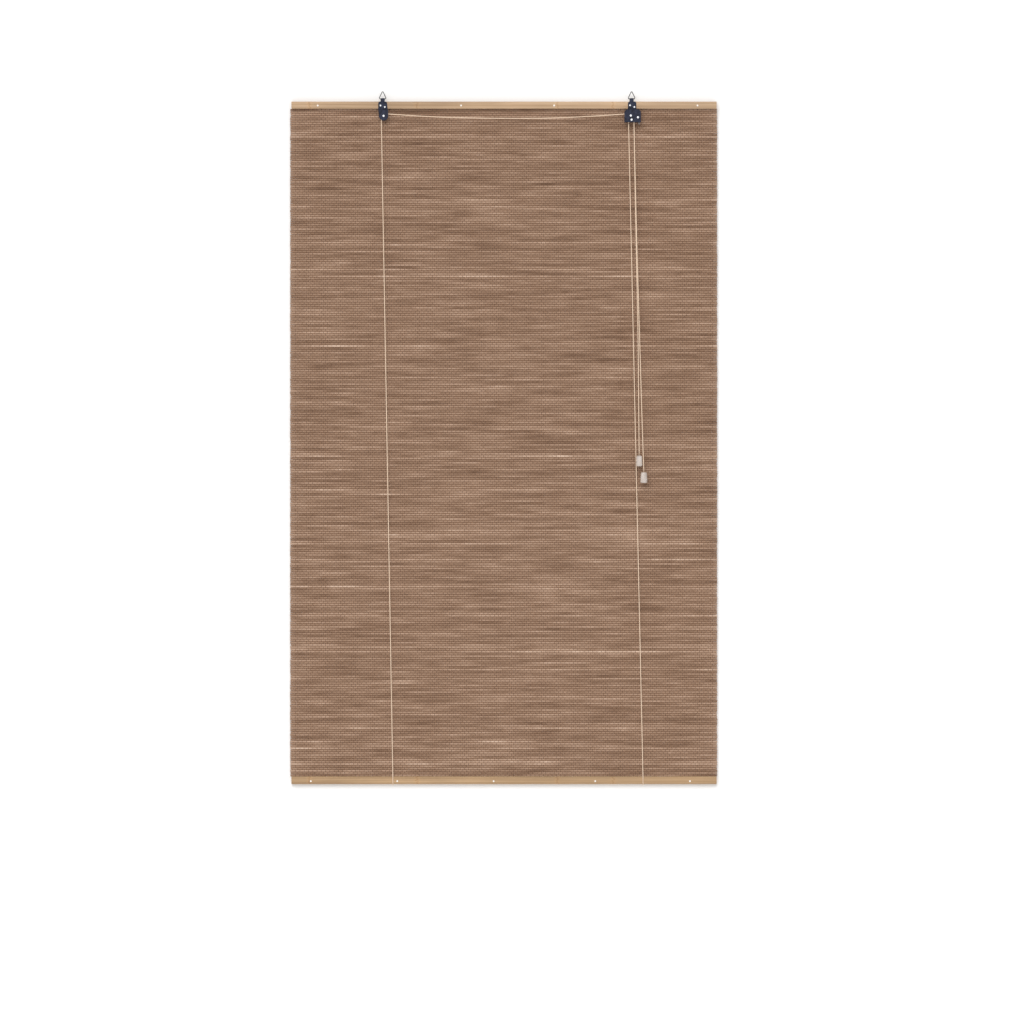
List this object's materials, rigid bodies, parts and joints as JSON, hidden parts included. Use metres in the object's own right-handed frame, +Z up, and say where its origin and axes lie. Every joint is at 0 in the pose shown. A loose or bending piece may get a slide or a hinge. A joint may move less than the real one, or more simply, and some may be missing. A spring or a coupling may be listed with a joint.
{
  "type": "bamboo roll up blind",
  "caption": "Woven bamboo roll-up window blind with a batten head rail and bottom rail, hung by two wire rings, raised by cords over a pulley and a cam lock, with tassels on the pull cords",
  "frame": {"origin": "centre of the head rail's back face, which lies against the wall", "axes": "+X to the right along the rails, +Y out of the back towards the wall, +Z up along the hanging mat; the front faces -Y"},
  "size_m": [1, 0.0339, 1.6314],
  "materials": {
    "bamboo_batten": "planed bamboo, clear satin",
    "bamboo_slat": "stained bamboo strips, satin",
    "nail_steel": "bright nail heads",
    "rivet_steel": "polished rivets and screws",
    "dark_paint": "blue-black enamel",
    "ring_wire": "plated wire",
    "wheel_nylon": "natural nylon",
    "cam_steel": "zinc plated",
    "cord_cotton": "braided cream cotton",
    "tassel_plastic": "ivory satin"
  },
  "bodies": {
    "head_rail": {"head_rail_front": "bamboo_batten", "head_rail_back": "bamboo_batten", "head_rail_nails": "nail_steel", "bamboo_slats": "bamboo_slat", "left_bracket": "dark_paint", "left_bracket_screws": "rivet_steel", "left_pulley_rivet": "rivet_steel", "lock_back_plate": "dark_paint", "lock_front_plate": "dark_paint", "lock_screws": "rivet_steel", "lock_pulley_rivet": "rivet_steel", "lock_roller_rivet": "rivet_steel", "lock_cam_rivet": "rivet_steel", "left_cord_eye": "ring_wire", "right_cord_eye": "ring_wire", "left_anchor_knot": "cord_cotton", "right_anchor_knot": "cord_cotton", "left_lift_cord": "cord_cotton", "right_lift_cord": "cord_cotton", "cross_cord": "cord_cotton", "lock_cord": "cord_cotton", "left_pull_cord": "cord_cotton", "right_pull_cord": "cord_cotton"},
    "bottom_rail": {"bottom_rail_front": "bamboo_batten", "bottom_rail_back": "bamboo_batten", "bottom_rail_nails": "nail_steel"},
    "left_pulley": {"left_pulley": "wheel_nylon"},
    "lock_pulley": {"lock_pulley": "wheel_nylon"},
    "lock_roller": {"lock_roller": "wheel_nylon"},
    "lock_cam": {"lock_cam": "cam_steel"},
    "left_ring": {"left_hanging_ring": "ring_wire"},
    "right_ring": {"right_hanging_ring": "ring_wire"},
    "upper_tassel": {"upper_tassel": "tassel_plastic", "upper_tassel_knot": "cord_cotton"},
    "lower_tassel": {"lower_tassel": "tassel_plastic", "lower_tassel_knot": "cord_cotton"}
  },
  "joints": [
    {"name": "lift", "type": "slide", "parent": "head_rail", "child": "bottom_rail", "axis": [0, 0, 1], "range_m": [0, 1.45], "deforming": ["bamboo_slats", "left_lift_cord", "right_lift_cord"]},
    {"name": "upper_tassel_pull", "type": "slide", "parent": "head_rail", "child": "upper_tassel", "axis": [0, 0, 1], "range_m": [-2.9, 0], "deforming": ["right_pull_cord"]},
    {"name": "lower_tassel_pull", "type": "slide", "parent": "head_rail", "child": "lower_tassel", "axis": [0, 0, 1], "range_m": [-2.9, 0], "deforming": ["left_pull_cord"]},
    {"name": "left_pulley_turn", "type": "hinge", "parent": "head_rail", "child": "left_pulley", "pos_m": [-0.2831, -0.0191, -0.0256], "axis": [0, 1, 0], "continuous": true},
    {"name": "lock_pulley_turn", "type": "hinge", "parent": "head_rail", "child": "lock_pulley", "pos_m": [0.2981, -0.02, -0.0251], "axis": [0, 1, 0], "continuous": true},
    {"name": "lock_roller_turn", "type": "hinge", "parent": "head_rail", "child": "lock_roller", "pos_m": [0.3, -0.02, -0.0348], "axis": [0, 1, 0], "continuous": true},
    {"name": "lock_cam_swing", "type": "hinge", "parent": "head_rail", "child": "lock_cam", "pos_m": [0.3148, -0.02, -0.0291], "axis": [0, 1, 0], "range_deg": [0, 16]},
    {"name": "left_ring_fold", "type": "hinge", "parent": "head_rail", "child": "left_ring", "pos_m": [-0.2854, -0.01462, 0.0144], "axis": [1, 0, 0], "range_deg": [-90, 90]},
    {"name": "right_ring_fold", "type": "hinge", "parent": "head_rail", "child": "right_ring", "pos_m": [0.3, -0.01462, 0.0144], "axis": [1, 0, 0], "range_deg": [-90, 90]}
  ],
  "couplings": [
    {"joint": "upper_tassel_pull", "follows": "lift", "ratio": -2},
    {"joint": "lower_tassel_pull", "follows": "lift", "ratio": -2},
    {"joint": "left_pulley_turn", "follows": "lift", "rad_per_m": 384.62},
    {"joint": "lock_pulley_turn", "follows": "lift", "rad_per_m": 384.62},
    {"joint": "lock_roller_turn", "follows": "lift", "rad_per_m": 363.64}
  ]
}
